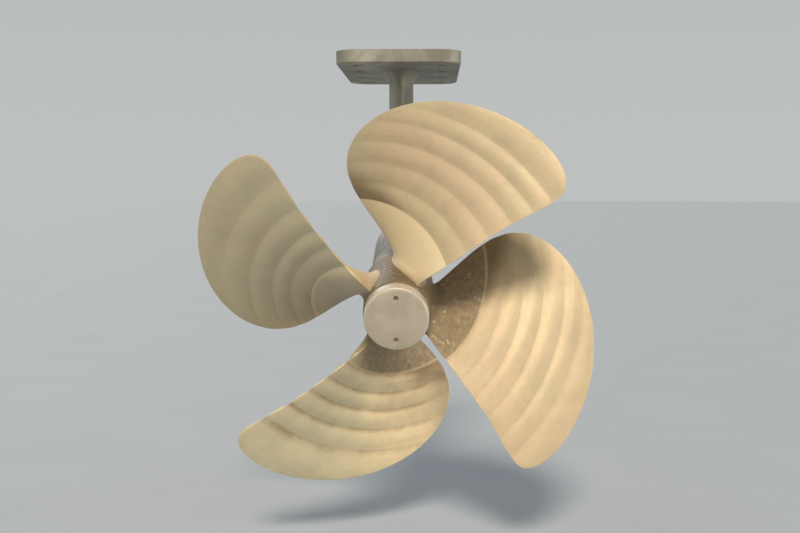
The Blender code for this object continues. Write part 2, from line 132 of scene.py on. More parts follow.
class PropellerSizes(PropertyGroup):
    """Sizes of the propeller's casting and of its cap."""

    radius: length("Radius", "Shaft line to the blades' tips", 0.400)
    blades: IntProperty(name="Blades", description="How many blades", default=4, min=2, max=7)
    first_angle: angle("First blade", "Anticlockwise from starboard, seen from astern", -15.5)
    pitch: length("Pitch", "Advance of the helix in one turn", 1.056)
    stations: number("Stations", "Where sizes are given, in radii", (0.16, 0.40, 0.65, 0.90))
    widths: length("Widths", "Blade width at each station", (0.138, 0.282, 0.387, 0.334))
    sweeps: number(
        "Sweeps",
        "Turn towards the leading edge at each station",
        tuple(map(math.radians, (0.0, 4.1, 1.8, -12.3))),
        unit="ROTATION",
    )
    root_thickness: length("Root thickness", "Thickness at the hub", 0.038)
    tip_thickness: length("Tip thickness", "Thickness at the tip", 0.005)
    edge_thickness: length("Edge thickness", "Thickness at the edges", 0.0045)
    face_share: factor("Face share", "Thickness on the driving face", 0.18)
    fillet: length("Root fillet", "Fillet between blade and hub", 0.014)
    grooves_1: grooves(1, 0.127, 0.167, 0.209, 0.252, 0.297, 0.338)
    grooves_2: grooves(2, 0.126, 0.170, 0.217, 0.264, 0.306, 0.343)
    grooves_3: grooves(3, 0.127, 0.173, 0.212, 0.262, 0.321)
    grooves_4: grooves(4, 0.126, 0.170, 0.211, 0.257, 0.308)
    smooth_tip: length("Smooth tip", "Least width outside the grooves", 0.030)
    ring_heights: length("Ring heights", "On each blade", (0.0038, 0.0036, 0.0050, 0.0056))
    ring_lean: length("Ring lean", "Rise of the rings towards the leading edge", 0.100)
    ring_fade: factor("Ring fade", "Height lost at the leading edge", 0.65)
    groove_softness: factor("Groove softness", "How softly two rings meet in a groove", 0.6)
    edge_scallop: length("Edge scallop", "How far a ring widens the blade", 0.0020)
    hub_forward: length("Hub forward", "Blades' middle to the hub's forward face", 0.085)
    hub_aft: length("Hub aft", "Blades' middle to the hub's after face", 0.084)
    hub_forward_radius: length("Hub radius forward", "Radius at the forward end", 0.066)
    hub_aft_radius: length("Hub radius aft", "Radius at the after end", 0.0605)
    hub_edge: length("Hub edge", "Rounding of the hub's edges", 0.005)
    pocket_radius: length("Nut pocket", "Radius of the nuts' pocket", 0.047)
    pocket_depth: length("Pocket depth", "Depth of the nuts' pocket", 0.042)
    cap_radius: length("Cap radius", "Radius of the closed cap", 0.0585)
    cap_length: length("Cap length", "Hub's after face to the cap's flat", 0.0292)
    cap_edge: length("Cap edge", "Rounding of the cap's rim", 0.004)
    cap_dome: length("Cap dome", "How far the cap's face bulges", 0.0025)
    cap_wall: length("Cap wall", "Thickness of the cap's face", 0.011)
    cap_thread: length("Cap thread", "Length of its thread", 0.0157)
    cap_chamfer: length("Cap chamfer", "Chamfer of the cap against the hub", 0.0012)
    hole_radius: length("Spanner hole", "Radius of a spanner hole", 0.0042)
    hole_circle: length("Spanner circle", "Cap's middle to a spanner hole", 0.039)
    hole_depth: length("Spanner depth", "Depth of a spanner hole", 0.0085)
    hole_chamfer: length("Spanner chamfer", "Depth of a spanner hole's chamfer", 0.0018)
    hole_mouth: length("Chamfer spread", "Spread of that chamfer's cutter", 0.0105)


class BracketSizes(PropertyGroup):
    """Sizes of the shaft, bearing and bracket."""

    hub_gap: length("Hub gap", "Barrel's middle to the blades' middle", 0.235)
    shaft_radius: length("Shaft radius", "Radius of the tail shaft", 0.0325)
    shaft_forward: length("Shaft forward", "Barrel's middle to the shaft's end", 0.350)
    shaft_chamfer: length("Shaft chamfer", "Chamfer of the shaft's end", 0.003)
    thread_radius: length("Thread radius", "Radius of the nuts' thread", 0.024)
    taper: number("Taper", "Length of the cone by its radius", 24.0)
    clearance: length("Clearance", "Water film between shaft and rubber", 0.0004)
    rubber_wall: length("Rubber wall", "Thickness of the lining", 0.0053)
    grooves: IntProperty(name="Grooves", description="Water grooves", default=10, min=0, max=24)
    groove_radius: length("Groove radius", "Radius of a water groove", 0.0032)
    shell_wall: length("Shell wall", "Thickness of the brass shell", 0.004)
    shell_overhang: length("Shell overhang", "Shell past each end of the barrel", 0.003)
    barrel_radius: length("Barrel radius", "Outer radius of the barrel", 0.0575)
    barrel_end: length("Barrel end", "Outer radius at the barrel's ends", 0.0510)
    barrel_length: length("Barrel length", "Length of the barrel", 0.260)
    barrel_taper: length("Barrel taper", "Length of the rounding at each end", 0.018)
    leg_chord: length("Leg chord", "Leg's length fore and aft", 0.200)
    leg_thickness: length("Leg thickness", "Leg's thickness across", 0.056)
    leg_fineness: factor("Leg fineness", "Thickness lost by the leg's after half", 0.28)
    leg_flare: length("Leg flare", "Spread of the leg at the palm", 0.020)
    flare_height: length("Flare height", "Height of that spread", 0.024)
    foot_fillet: length("Foot fillet", "Fillet between leg and barrel", 0.013)
    palm_length: length("Palm length", "Palm's length fore and aft", 0.456)
    palm_width: length("Palm width", "Palm's width across", 0.234)
    palm_thickness: length("Palm thickness", "Thickness of the palm", 0.025)
    palm_corner: length("Palm corner", "Rounding of the palm's corners", 0.045)
    palm_edge: length("Palm edge", "Rounding of the palm's lower edge", 0.004)
    bolt_radius: length("Bolt radius", "Radius of a palm bolt", 0.008)
    head_radius: length("Head radius", "Radius of a palm bolt's head", 0.0155)
    head_depth: length("Head depth", "Depth of a palm bolt's head", 0.009)
    socket_width: length("Socket width", "Width across a bolt's socket", 0.010)
    socket_depth: length("Socket depth", "Depth of a bolt's socket", 0.005)
    screw_radius: length("Screw radius", "Radius of a set screw", 0.006)
    screw_socket: factor("Screw socket", "Width of a set screw's socket in its radii", 0.87)
    screw_edge: length("Screw edge", "Chamfer of a set screw", 0.0005)
    screw_recess: length("Screw recess", "A set screw's depth in the barrel", 0.0022)
    screw_spacing: length("Screw spacing", "Distance between the set screws", 0.120)


class Finishes(PropertyGroup):
    """Colours of the propeller and of its bracket."""

    bronze: colour("Bronze", "Coated blades and hub", (0.560, 0.455, 0.275))
    # Olive and brown also make the dark roots and hub: a darker patina and painted shade
    bronze_olive: colour("Olive bronze", "Olive patches and dark roots", (0.270, 0.240, 0.155))
    bronze_pink: colour("Pink bronze", "Warm patches on the blades", (0.575, 0.435, 0.270))
    # Brown also makes the painted shadow towards the blades' leading edges
    bronze_brown: colour("Brown bronze", "Stains and dark roots", (0.330, 0.205, 0.085))
    # Painted shade: greys the blade to port, which faces away from the light
    bronze_grey: colour("Grey bronze", "Film on the blade to port", (0.410, 0.420, 0.310))
    cap: colour("Cap", "Boss cap", (0.410, 0.352, 0.262))
    cap_pale: colour("Pale cap", "Worn patches and rim of the cap", (0.580, 0.520, 0.415))
    paint: colour("Paint", "Bracket paint", (0.200, 0.192, 0.145))
    # Pale paint also makes the painted light on the leg's port side
    paint_pale: colour("Pale paint", "Rubbed patches of that paint", (0.330, 0.318, 0.250))
    steel: colour("Steel", "Shaft and fastenings", (0.580, 0.585, 0.590))
    brass: colour("Brass", "Bearing shell", (0.640, 0.470, 0.200))
    rubber: colour("Rubber", "Bearing lining", (0.022, 0.022, 0.023))
    floor: colour("Floor", "Floor of the studio", (0.440, 0.480, 0.510))
    horizon: colour("Horizon", "Light from low down", (0.512, 0.527, 0.526))
    overhead: colour("Overhead", "Light from high up", (0.230, 0.255, 0.290))
    sunlight: colour("Key light", "Colour of the main light", (1.0, 0.890, 0.760))


# Shader maths


class Term:
    """A shader socket for Python sums; without a socket it only adds nodes."""

    def __init__(self, tree, socket=None):
        self.tree = tree
        self.socket = socket

    def node(self, kind, settings=None, inputs=None, output=0):
        """Adds a node: its settings first, then the values or links of its sockets."""
        made = self.tree.nodes.new("ShaderNode" + kind)
        for name, value in (settings or {}).items():
            setattr(made, name, value)
        for name, value in (inputs or {}).items():
            if isinstance(value, Term):
                self.tree.links.new(value.socket, made.inputs[name])
            elif value is not None:
                made.inputs[name].default_value = value
        return Term(self.tree, made.outputs[output])

    def parts(self):
        """The three numbers of a vector."""
        made = self.node("SeparateXYZ", {}, {"Vector": self}).socket.node
        return [Term(self.tree, output) for output in made.outputs]

    def maths(self, operation, *values):
        """Adds a Math node, or a Vector Math node where this is a vector."""
        kind, inputs = "Math", dict(enumerate(values))
        if self.socket.type == "VECTOR":
            kind = "VectorMath"
            if operation == "MULTIPLY":
                operation, inputs = "SCALE", {"Vector": self, "Scale": values[1]}
        return self.node(kind, {"operation": operation}, inputs)

    def __add__(self, other):
        return self.maths("ADD", self, other)

    def __sub__(self, other):
        return self.maths("SUBTRACT", self, other)

    def __rsub__(self, other):
        return self.maths("SUBTRACT", other, self)

    def __mul__(self, other):
        return self.maths("MULTIPLY", self, other)

    def __pow__(self, other):
        return self.maths("POWER", self, other)

    def fraction(self):
        return self.maths("FRACT", self)

    def ramp(self, low, high):
        """Nought at low and one at high, whichever is the larger."""
        inputs = {"Value": self, "From Min": low, "From Max": high}
        return self.node("MapRange", {"interpolation_type": "SMOOTHSTEP"}, inputs)

    def mix(self, first, second):
        """From the first colour to the second as this value goes from nought to one."""
        sides = {0: self, 6: opaque(first), 7: opaque(second)}
        return self.node("Mix", {"data_type": "RGBA", "clamp_factor": True}, sides, output=2)

    def noise(self, size, detail=3.0, roughness=0.6, distortion=0.0):
        """Noise whose patches are about this many metres across."""
        inputs = {"Vector": self, "Scale": 1 / size, "Detail": detail}
        inputs.update(Roughness=roughness, Distortion=distortion)
        return self.node("TexNoise", {}, inputs)

    def stretched(self, x, y, z):
        """Scales the place, so that noise is longer where the scale is small."""
        return self.node("Mapping", {}, {"Vector": self, "Scale": (x, y, z)})


def opaque(shade):
    return shade if isinstance(shade, Term) else (*shade, 1.0)


def tinted(shade, strength):
    """A colour that is darker by a factor, or paler where that is more than one."""
    return tuple(min(1.0, channel * strength) for channel in shade)


class Surface:
    """A new material, and what its terms feed in the end."""

    def __init__(self, name, shade, roughness, metallic=0.0):
        self.material = bpy.data.materials.new(name)
        self.material.use_nodes = True
        tree = self.material.node_tree
        self.shader = tree.nodes["Principled BSDF"]
        self.start = Term(tree)
        self.place = self.start.node("TexCoord", output="Object")
        self.set("Base Color", (*shade, 1.0))
        self.set("Roughness", roughness)
        self.set("Metallic", metallic)

    def set(self, socket, value):
        if isinstance(value, Term):
            value.tree.links.new(value.socket, self.shader.inputs[socket])
        else:
            self.shader.inputs[socket].default_value = value

    def bump(self, height, depth, below=None):
        """A bump whose height of one stands this many metres out."""
        inputs = {"Height": height, "Distance": depth, "Strength": 1.0, "Normal": below}
        return self.start.node("Bump", {}, inputs)

    def finish(self, shade, roughness, normal):
        """Sets what varies over the surface."""
        self.set("Base Color", shade)
        self.set("Roughness", roughness)
        self.set("Normal", normal)
        return self


# Meshes


def mesh_from(name, points, faces, maps=None):
    """A mesh of points and faces, with a map of two numbers a point where given."""
    mesh = bpy.data.meshes.new(name)
    mesh.from_pydata(np.asarray(points, float).reshape(-1, 3).tolist(), [], faces)
    layer = mesh.uv_layers.new(name="rings")
    values = np.zeros((len(mesh.vertices), 2)) if maps is None else np.asarray(maps)
    corners = np.empty(len(mesh.loops), dtype=np.int32)
    mesh.loops.foreach_get("vertex_index", corners)
    layer.data.foreach_set("uv", values.reshape(-1, 2)[corners].astype(np.float32).ravel())
    return mesh


def new_object(name, data, matrix=None):
    obj = bpy.data.objects.new(name, data)
    bpy.context.scene.collection.objects.link(obj)
    if matrix:
        obj.matrix_world = matrix
    return obj


def full_turn(steps):
    return 2 * np.pi * np.arange(steps) / steps


def quarter(steps):
    """Sines and cosines over a quarter of a turn."""
    return [(math.sin(turn), math.cos(turn)) for turn in np.linspace(0, np.pi / 2, steps)]


def ring_at(x, y, z):
    return np.stack(np.broadcast_arrays(x, y, z), axis=-1)


def grid_faces(rows, columns, wrap_rows=False):
    """Quads between rows of points, each row a closed ring."""
    faces = []
    for row in range(rows if wrap_rows else rows - 1):
        here, above = row * columns, (row + 1) % rows * columns
        for i in range(columns):
            after = (i + 1) % columns
            faces.append((here + i, here + after, above + after, above + i))
    return faces


def end_faces(columns, start, turn):
    """Strips that close a ring across its narrow way."""
    faces = []
    for i in range(columns // 2):
        across = (i, (columns - i) % columns, columns - 1 - i, i + 1)
        corners = list(dict.fromkeys(start + corner for corner in across))
        if len(corners) > 2:
            faces.append(tuple(corners[::turn]))
    return faces


def loft_mesh(name, rings, maps=None):
    """Joins rings of as many points each and closes both ends."""
    rows, columns = len(rings), len(rings[0])
    faces = grid_faces(rows, columns)
    faces += end_faces(columns, 0, 1) + end_faces(columns, (rows - 1) * columns, -1)
    return mesh_from(name, rings, faces, maps)


def turned(name, profile, matrix, steps=ROUND_STEPS, phase=0.0):
    """Makes a piece by turning a profile of (radius, height) about Z.

    It runs down its outer side. Where it starts and ends on the axis it is closed there,
    and otherwise it closes on itself.
    """
    open_ends = profile[0][0] == 0.0
    rim = profile[1:-1] if open_ends else profile
    points = [
        (radius * math.cos(turn), radius * math.sin(turn), height)
        for radius, height in rim
        for turn in phase + full_turn(steps)
    ]
    faces = [face[::-1] for face in grid_faces(len(rim), steps, wrap_rows=not open_ends)]
    if open_ends:
        top, bottom = len(points), len(points) + 1
        points += [(0.0, 0.0, profile[0][1]), (0.0, 0.0, profile[-1][1])]
        last = (len(rim) - 1) * steps
        for i in range(steps):
            after = (i + 1) % steps
            faces.append((top, i, after))
            faces.append((bottom, last + after, last + i))
    return new_object(name, mesh_from(name, points, faces), matrix)


def rounded(profile, radii, steps=5):
    """Rounds each corner of a profile by its radius."""
    result = []
    for i, (corner, size) in enumerate(zip(profile, radii)):
        if not size:
            result.append(corner)
            continue
        here = Vector((*corner, 0))
        before = (Vector((*profile[i - 1], 0)) - here).normalized()
        after = (Vector((*profile[i + 1], 0)) - here).normalized()
        half = before.angle(after) / 2
        middle = (before + after).normalized() * size / math.sin(half)
        reach = size / math.tan(half)
        first, last = ((side * reach - middle).normalized() for side in (before, after))
        for k in range(steps + 1):
            place = here + middle + first.slerp(last, k / steps) * size
            result.append((place.x, place.y))
    return result


def combine(obj, other, operation):
    """Applies a Boolean with another object, which is then removed."""
    boolean = obj.modifiers.new(other.name, "BOOLEAN")
    boolean.operation = operation
    boolean.object = other
    bpy.context.view_layer.update()
    graph = bpy.context.evaluated_depsgraph_get()
    mesh = bpy.data.meshes.new_from_object(obj.evaluated_get(graph))
    obj.modifiers.clear()
    obj.data = mesh
    bpy.data.objects.remove(other, do_unlink=True)


def cut(obj, name, profile, matrix, steps=SMALL_STEPS, phase=0.0):
    """Cuts a turned shape out of a piece."""
    combine(obj, turned(name, profile, matrix, steps, phase), "DIFFERENCE")


def dress(obj, body, slot, surface, *nodes):
    """Shades a finished piece smooth, gives it its material and puts it on its body."""
    mesh = obj.data
    mesh.shade_smooth()
    mesh.set_sharp_from_angle(angle=SHARP)
    weighted = obj.modifiers.new("even_shading", "WEIGHTED_NORMAL")
    weighted.keep_sharp = True
    mesh.materials.clear()
    mesh.materials.append(surface.material)
    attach(obj, body)
    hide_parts(*nodes)


def on_shaft(forward=0.0):
    """Places a piece on the shaft line: X to starboard, Y up, Z pointing aft."""
    middle = SHAFT_MIDDLE - AFT * forward
    return Matrix.Translation(middle) @ Matrix.Rotation(math.pi / 2 + SLOPE, 4, "X")


def blades_middle(context):
    """Places a piece of the propeller."""
    return on_shaft(-context.scene.bracket_sizes.hub_gap)


def bolt_place(bolt):
    """Places a palm bolt or its hole."""
    low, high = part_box(f"palm_bolt_{bolt}")
    return Matrix.Translation(((low.x + high.x) / 2, (low.y + high.y) / 2, 0))


def screw_place(size, screw):
    """Places a set screw or its hole, Z pointing out of the barrel's side."""
    aft = size.screw_spacing * (1.5 - screw)
    return on_shaft() @ Matrix.Translation((0, 0, aft)) @ Matrix.Rotation(math.pi / 2, 4, "Y")


# Propeller


class BladeShape:
    """The blades' surface, worked out for whole rows of points at once."""

    COLUMNS = 96  # points round a blade's section
    FILLET_ROWS, RING_ROWS, TIP_ROWS = 12, 16, 44  # on the fillet, a ring and the tip
    TIP_SHORT = 0.6  # share of a row's step that is left open at the tip
    ROOT_DEPTH = 0.7  # the root's reach into the hub, in fillets
    BLEND = 3  # height in which the hub's taper fades out, in fillets
    RING_END = 0.6  # the rings end more squarely at the edges where this is less

    def __init__(self, sizes):
        self.sizes = sizes
        self.radius = sizes.radius
        self.hub = self.hub_radius(0.0)
        stations = [share * sizes.radius for share in sizes.stations]
        fullness = [w / self.tip_closing(r) for w, r in zip(sizes.widths, stations)]
        fit, degree = np.polynomial.Polynomial.fit, len(stations) - 1
        self.fullness = fit(stations, fullness, degree)
        self.sweep = fit(stations, list(sizes.sweeps), degree)

    def hub_radius(self, aft):
        size = self.sizes
        share = (aft + size.hub_forward) / (size.hub_forward + size.hub_aft)
        return size.hub_forward_radius + (size.hub_aft_radius - size.hub_forward_radius) * share

    def tip_closing(self, radius):
        """How a blade's width closes to nought at the tip."""
        return np.sqrt(np.maximum(0.0, 1 - radius / self.radius))

    def grooves(self, blade):
        """Radii of the grooves on one blade, as far as its smooth tip."""
        radii = getattr(self.sizes, f"grooves_{blade % 4 + 1}")
        return [radius for radius in radii if radius < self.radius - self.sizes.smooth_tip]

    def rows(self, grooves):
        """Radii at the trailing edge, closest together at the fillet, the grooves and the tip."""

        def eased(start, end, steps, short=0.0):
            share = np.arange(1, steps + 1) / (steps + short)
            return list(start + (end - start) * ((1 - np.cos(np.pi * share)) / 2))

        fillet = np.linspace(-self.ROOT_DEPTH, 1.0, self.FILLET_ROWS)
        rows = list(self.hub + self.sizes.fillet * fillet)
        for end in grooves:
            rows += eased(rows[-1], end, self.RING_ROWS)
        return np.array(rows + eased(rows[-1], self.radius, self.TIP_ROWS, self.TIP_SHORT))

    def point(self, rows, turns, blade):
        """Points of one blade, and its across and ring numbers for the material."""
        size = self.sizes
        grooves = self.grooves(blade)
        start = size.first_angle + 2 * math.pi * blade / size.blades
        row = rows[:, None]
        along, rounding = np.cos(turns)[None, :], np.abs(np.sin(turns))[None, :]
        across = (1 + along) / 2
        rise = np.clip((row - self.hub) / (grooves[0] - self.hub), 0, 1)
        lean = size.ring_lean * across * rise
        radius = (row + lean) / (1 + lean / self.radius)

        climb = np.clip((radius - self.hub) / size.fillet, 0, 1)
        flare = size.fillet * (1 - np.sqrt(1 - (1 - climb) ** 2))
        near_hub = np.clip(1 - (radius - self.hub) / (self.BLEND * size.fillet), 0, 1)
        share = (radius - self.hub) / (self.radius - self.hub)
        thickness = size.root_thickness + (size.tip_thickness - size.root_thickness) * share
        thickness = thickness * rounding**2 + size.edge_thickness * rounding

        ring = np.interp(row, [*grooves, self.radius], range(len(grooves) + 1))
        ring += np.minimum(0, row - grooves[0]) / (grooves[1] - grooves[0])
        arch = 1 - (2 * (np.where(ring > 0, ring, np.maximum(ring, -0.5)) % 1.0) - 1) ** 2
        swell = arch ** (1 + size.groove_softness) * rise * (1 - size.ring_fade * across)
        height = size.ring_heights[blade % 4]
        relief = height * swell * rounding**self.RING_END + flare * rounding

        face = size.face_share * thickness + relief
        back = (size.face_share - 1) * thickness - relief
        off = np.where(np.sin(turns)[None, :] > 0, face, back)
        width = self.fullness(radius) * self.tip_closing(radius) + flare
        chord = along * (width / 2 + swell * size.edge_scallop)
        slope = np.arctan2(size.pitch, 2 * np.pi * radius)
        sweep = self.sweep(radius)
        around = chord * np.cos(slope) + off * np.sin(slope)
        forward = chord * np.sin(slope) - off * np.cos(slope)
        forward = forward + sweep * size.pitch / (2 * np.pi)
        turn = start + sweep + around / radius
        out = radius + (self.hub_radius(-forward) - self.hub) * near_hub
        points = ring_at(out * np.cos(turn), out * np.sin(turn), -forward)
        ring = np.minimum(ring, len(grooves) - 0.5)
        maps = np.stack(np.broadcast_arrays(across, ring), axis=-1)
        return points, maps

    def mesh(self, blade):
        rows = self.rows(self.grooves(blade))
        points, maps = self.point(rows, full_turn(self.COLUMNS), blade)
        return loft_mesh(f"blade_{blade + 1}", points, maps)


class PROPELLER_OT_casting(Operator):
    """Makes the hub and its blades, which are one bronze casting"""

    bl_idname = "propeller.casting"
    bl_label = "Hub and Blades"

    def execute(self, context):
        size, bracket = context.scene.propeller_sizes, context.scene.bracket_sizes
        shape = BladeShape(size)
        floor = size.hub_aft - size.pocket_depth
        bore = bracket.shaft_radius + FIT
        profile = [
            (size.pocket_radius, size.hub_aft),
            (size.hub_aft_radius, size.hub_aft),
            (shape.hub, 0.0),
            (size.hub_forward_radius, -size.hub_forward),
            (bore, -size.hub_forward),
            (bore, floor),
            (size.pocket_radius, floor),
        ]
        profile = rounded(profile, [0, size.hub_edge / 2, 0, size.hub_edge, CHAMFER, 0, 0])
        matrix = blades_middle(context)
        hub = turned("hub_and_blades", profile, matrix)
        layer = hub.data.uv_layers["rings"].data
        layer.foreach_set("uv", np.tile(HUB_MAP, len(layer)).astype(np.float32))
        for blade in range(size.blades):
            mesh = shape.mesh(blade)
            combine(hub, new_object(mesh.name, mesh, matrix), "UNION")
        hub.data.transform(matrix)
        hub.matrix_world = Matrix()
        made = bronze(context.scene.finishes)
        dress(hub, "propeller", "bronze", made, "propeller_casting")
        return {"FINISHED"}


def bronze(shades):
    """Golden coated bronze, browner in the grooves, with patina and painted shade at roots and
    hub.

    The map gives the place across a blade and the ring's number, below nought on the roots.
    """
    brown = shades.bronze_brown
    pale = tinted(shades.bronze, 1.42)
    deep = tuple(0.24 * a + 0.4 * b for a, b in zip(shades.bronze_olive, brown))
    made = Surface("coated_bronze", shades.bronze, 0.5, 0.24)
    rings = made.start.node("UVMap", {"uv_map": "rings"})
    across, ring, _ = rings.parts()
    x, _, z = made.place.parts()
    on_rings = ring.ramp(-0.04, 0.04)
    root = 1 - on_rings
    off_hub = ring.ramp(-1.6, -1.2)
    patch = made.place.noise(0.045, 4.0, 0.55)
    mottle = made.place.noise(0.012)
    speckle = made.place.noise(0.005, 4.0, 0.65)

    # Patches, painted light on the lowest blade and painted shade, grey, on the blade to port
    shade = made.place.noise(0.13, 2.0, 0.5).ramp(0.38, 0.66)
    shade = shade.mix(shades.bronze, shades.bronze_pink)
    lit_lowest = z.ramp(-0.5, -0.62) * (x.ramp(0.12, 0.04) * 0.75 + 0.1)
    shade = lit_lowest.mix(shade, pale)
    shade = (patch.ramp(0.42, 0.72) * 0.18).mix(shade, shades.bronze_olive)
    shade = (mottle.ramp(0.48, 0.72) * 0.08).mix(shade, brown)
    port_shade = x.ramp(0.0, -0.12) * (patch * 0.3 + 0.2)
    shade = port_shade.mix(shade, shades.bronze_grey)

    # Browner in the grooves, mostly on the lowest blade
    share = ring.fraction()
    trough = (share.ramp(0.2, 0.0) + share.ramp(0.84, 1.0)) * on_rings
    lowest = z.ramp(-0.42, -0.52) * (x.ramp(0.1, 0.04) * 0.3 + 0.1)
    darkening = trough * (patch.ramp(0.32, 0.62) + 0.4) * lowest * (1.15 - across * 0.6)
    shade = darkening.mix(shade, brown)

    # Painted shadow, dark brown, towards the leading edges; faint streaks along the rings
    forward = (across - ring * 0.25).ramp(0.45, 0.8) * on_rings * (patch * 0.5 + 0.5)
    not_port = x.ramp(-0.2, -0.05)
    shade = (forward * not_port).mix(shade, tinted(brown, 0.6))
    streaks = (rings.stretched(1.0, 5.0, 1.0) + made.place * 2.0).noise(0.8, 2.0, 0.5)
    lines = streaks.ramp(0.46, 0.66) * (across.ramp(0.35, 0.8) * 0.9 + 0.1) * on_rings
    shade = (lines * 0.07).mix(shade, brown)

    # Painted shade with a darker patina on the hub and roots; painted light on the upper root
    below = z.ramp(-0.43, -0.45) * x.ramp(-0.09, -0.05)
    starboard = (z - x * 0.76).ramp(-0.455, -0.475) * x.ramp(0.03, 0.05)
    unshaded_roots = (1 - below) * (1 - starboard) * off_hub
    above = z.ramp(-0.43, -0.4)
    shade = (root * (1 - unshaded_roots) * (mottle.ramp(0.3, 0.7) * 0.2 + 0.7)).mix(shade, deep)
    shade = ((1 - off_hub) * (patch * 0.5 + 0.5)).mix(shade, tinted(deep, 0.6))
    shade = (root * unshaded_roots * above * (mottle * 0.4 + 0.65)).mix(shade, pale)

    # Scuffs on the roots, worn edges, and a painted highlight along the roots' lip
    specks = made.place.noise(0.009).ramp(0.58, 0.66) * patch.ramp(0.45, 0.6) * root
    lip_highlight = ring.ramp(-0.12, -0.05) * root
    edge = (across.ramp(0.01, 0.0) + across.ramp(0.99, 1.0)) * on_rings
    shade = (specks * 0.4 + lip_highlight * 0.4 + edge * 0.15).mix(shade, pale)

    fine = made.bump(made.place.noise(0.0016, 2.0, 0.5), 0.00012)
    fine = made.bump(lines, -0.0001, fine)
    normal = made.bump(speckle * 0.4 + mottle * 0.6, 0.0008, fine)
    return made.finish(shade, speckle * 0.16 + 0.46 + darkening * 0.2, normal)


class PROPELLER_OT_cap(Operator):
    """Makes the closed cap over the nuts"""

    bl_idname = "propeller.cap"
    bl_label = "Boss Cap"

    def execute(self, context):
        size = context.scene.propeller_sizes
        bore = context.scene.bracket_sizes.thread_radius + FIT
        start = size.hub_aft + FIT
        face = size.hub_aft + size.cap_length
        floor = face - size.cap_wall
        shoulder = floor - size.cap_thread
        crown = size.cap_radius - size.cap_edge
        dome = [(crown * s, face + size.cap_dome * c) for s, c in quarter(14)[1:-1]]
        rim = [(crown + size.cap_edge * s, face - size.cap_edge * (1 - c)) for s, c in quarter(8)]
        profile = [
            (0.0, face + size.cap_dome),
            *dome,
            *rim,
            (size.cap_radius, start + size.cap_chamfer),
            (size.cap_radius - size.cap_chamfer, start),
            (size.pocket_radius, start),
            (size.pocket_radius, shoulder),
            (bore, shoulder),
            (bore, floor),
            (0.0, floor),
        ]
        matrix = blades_middle(context)
        cap = turned("domed_boss_cap", profile, matrix)
        top = face + size.cap_dome
        hole = [
            (0.0, top + OVERSHOOT),
            (size.hole_radius + size.hole_mouth, top + OVERSHOOT),
            (size.hole_radius, top - size.hole_chamfer),
            (size.hole_radius, top - size.hole_depth),
            (0.0, top - size.hole_depth - DRILL_POINT),
        ]
        for name, side in (("top", 1), ("bottom", -1)):
            cut(cap, name, hole, matrix @ Matrix.Translation((0, side * size.hole_circle, 0)))
        made = cap_bronze(context.scene.finishes, size.cap_radius)
        dress(cap, "propeller", "cap_bronze", made, "boss_cap")
        return {"FINISHED"}


def cap_bronze(shades, rim):
    """Greyer bronze, speckled, and worn pale round the rim."""
    made = Surface("cap_bronze", shades.cap, 0.45, 0.25)
    speckle = made.place.noise(0.004, 4.0, 0.65)
    x, y, _ = made.place.parts()
    out = (x * x + y * y) ** 0.5
    worn = out.ramp(rim - 0.006, rim - 0.001) * speckle.ramp(0.3, 0.6)
    wide = made.place.noise(0.05, 2.0, 0.5).ramp(0.4, 0.65)
    shade = (wide * 0.35).mix(shades.cap, shades.cap_pale)
    shade = (speckle.ramp(0.5, 0.75) * 0.3).mix(shade, tinted(shades.cap, 0.6))
    shade = (worn * 0.8).mix(shade, shades.cap_pale)
    return made.finish(shade, speckle * 0.2 + 0.34, made.bump(speckle, 0.0004))


class PROPELLER_OT_shaft(Operator):
    """Makes the tail shaft, and finishes the nuts and the key on it"""

    bl_idname = "propeller.shaft"
    bl_label = "Tail Shaft"

    def execute(self, context):
        size, bracket = context.scene.propeller_sizes, context.scene.bracket_sizes
        radius, thread = bracket.shaft_radius, bracket.thread_radius
        end = size.hub_aft + size.cap_length - size.cap_wall - FIT
        floor = size.hub_aft - size.pocket_depth - FIT
        forward = -(bracket.hub_gap + bracket.shaft_forward)
        chamfer = bracket.shaft_chamfer
        profile = [
            (0.0, end),
            (thread - chamfer / 2, end),
            (thread, end - chamfer / 2),
            (thread, floor),
            (radius - (floor + size.hub_forward) / bracket.taper, floor),
            (radius, -size.hub_forward),
            (radius, forward + chamfer),
            (radius - chamfer, forward),
            (0.0, forward),
        ]
        shaft = turned("turned_tail_shaft", profile, blades_middle(context))
        shades = context.scene.finishes
        polished = steel(shades, "polished_steel", 0.24)
        dress(shaft, "propeller", "stainless_steel", polished, "tail_shaft")
        plain = steel(shades, "plain_steel", 0.36)
        for name in ("propeller_nut", "lock_nut", "shaft_key"):
            frame["nodes"][name].material_slots[0].material = plain.material
        return {"FINISHED"}


def steel(shades, name, roughness):
    """Stainless steel with the fine marks that turning leaves round it."""
    made = Surface(name, shades.steel, roughness, 1.0)
    lines = made.place.stretched(0.02, 0.02, 1.0).noise(0.0009, 2.0)
    darkening = made.place.noise(0.04, 4.0)
    shade = darkening.ramp(0.5, 0.7).mix(shades.steel, tinted(shades.steel, 0.72))
    rough = lines * 0.16 + (roughness - 0.06) + darkening * 0.06
    return made.finish(shade, rough, made.bump(lines, 0.00008))


# Bearing and bracket


def bearing_radii(size):
    """Bore and outside of the rubber, then of the shell, then the barrel's bore."""
    bore = size.shaft_radius + size.clearance
    rubber = bore + size.rubber_wall
    shell = rubber + FIT + size.shell_wall
    return bore, rubber, rubber + FIT, shell, shell + FIT


